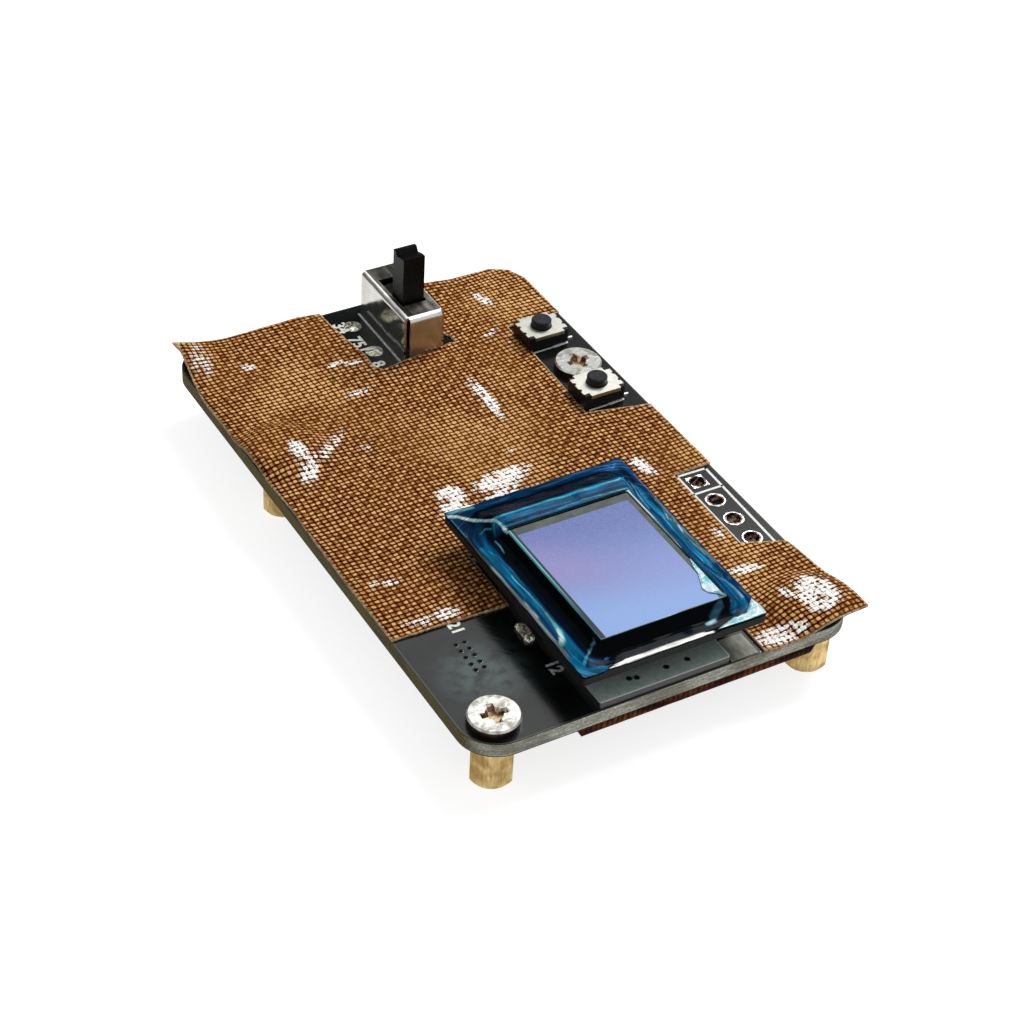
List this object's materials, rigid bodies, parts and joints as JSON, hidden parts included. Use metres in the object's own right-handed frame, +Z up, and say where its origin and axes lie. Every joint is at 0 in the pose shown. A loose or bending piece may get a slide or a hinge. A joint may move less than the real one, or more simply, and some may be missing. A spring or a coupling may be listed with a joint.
{
  "type": "small oled module",
  "caption": "Small display board on four hex stand-offs, with a filmed micro display, a slide switch, push buttons, a header and woven tape.",
  "frame": {"origin": "centre of the four stand-off feet, on the surface that they stand on", "axes": "+X across the board towards the push buttons, +Y along the board towards the slide switch, +Z up out of the display's face"},
  "size_m": [0.0327, 0.0525, 0.0133],
  "materials": {
    "board": "satin black solder mask",
    "woven_tape": "brown woven tape",
    "brass": "turned, satin",
    "screw_nickel": "nickel plated",
    "adapter": "grey-green solder mask",
    "connector_cream": "moulded",
    "contact_gold": "gold plated",
    "connector_black": "moulded",
    "carrier": "black solder mask, rough cut edge",
    "silicon": "polished",
    "epoxy": "glossy",
    "display_glass": "clear over a lavender-blue active area",
    "film": "blue film",
    "switch_black": "moulded",
    "can_nickel": "polished nickel",
    "tin": "tinned",
    "spring_bronze": "rolled",
    "solder": "solder",
    "button_black": "moulded",
    "button_steel": "tinned sheet",
    "capacitor_tan": "ceramic",
    "chip_black": "moulded",
    "crystal_case": "plated lid",
    "resistor_black": "glazed"
  },
  "bodies": {
    "board": {"main_board": "board", "top_tape": "woven_tape", "bottom_tape": "woven_tape", "standoff_front_left": "brass", "standoff_front_right": "brass", "standoff_rear_left": "brass", "standoff_rear_right": "brass", "screw_front_left": "screw_nickel", "screw_front_right": "screw_nickel", "screw_rear_left": "screw_nickel", "screw_rear_right": "screw_nickel", "display_adapter": "adapter", "display_socket": "connector_cream", "socket_contacts": "contact_gold", "display_plug": "connector_black", "display_carrier": "carrier", "display_die": "silicon", "bond_bead": "epoxy", "cover_glass": "display_glass", "protective_film": "film", "switch_base": "switch_black", "switch_can": "can_nickel", "switch_terminals": "tin", "switch_solder": "solder", "button_rear_body": "button_black", "button_rear_leads": "tin", "button_rear_dome": "spring_bronze", "button_rear_cover": "button_steel", "button_front_body": "button_black", "button_front_leads": "tin", "button_front_dome": "spring_bronze", "button_front_cover": "button_steel", "header_pads": "solder", "wire_pads": "solder", "ground_pad": "solder", "chip_capacitor": "capacitor_tan", "driver_chip": "chip_black", "memory_chip": "chip_black", "regulator_chip": "chip_black", "crystal": "crystal_case", "coil": "chip_black", "capacitors": "capacitor_tan", "resistors": "resistor_black"},
    "switch_slider": {"switch_knob": "switch_black", "switch_clip": "spring_bronze"},
    "rear_plunger": {"button_rear_plunger": "button_black"},
    "front_plunger": {"button_front_plunger": "button_black"}
  },
  "joints": [
    {"name": "switch_slide", "type": "slide", "parent": "board", "child": "switch_slider", "axis": [0, 1, 0], "range_m": [0, 0.002]},
    {"name": "rear_button_press", "type": "slide", "parent": "board", "child": "rear_plunger", "axis": [0, 0, -1], "range_m": [0, 0.00025], "stiffness_N_per_m": 6400, "deforming": ["button_rear_dome"]},
    {"name": "front_button_press", "type": "slide", "parent": "board", "child": "front_plunger", "axis": [0, 0, -1], "range_m": [0, 0.00025], "stiffness_N_per_m": 6400, "deforming": ["button_front_dome"]}
  ]
}
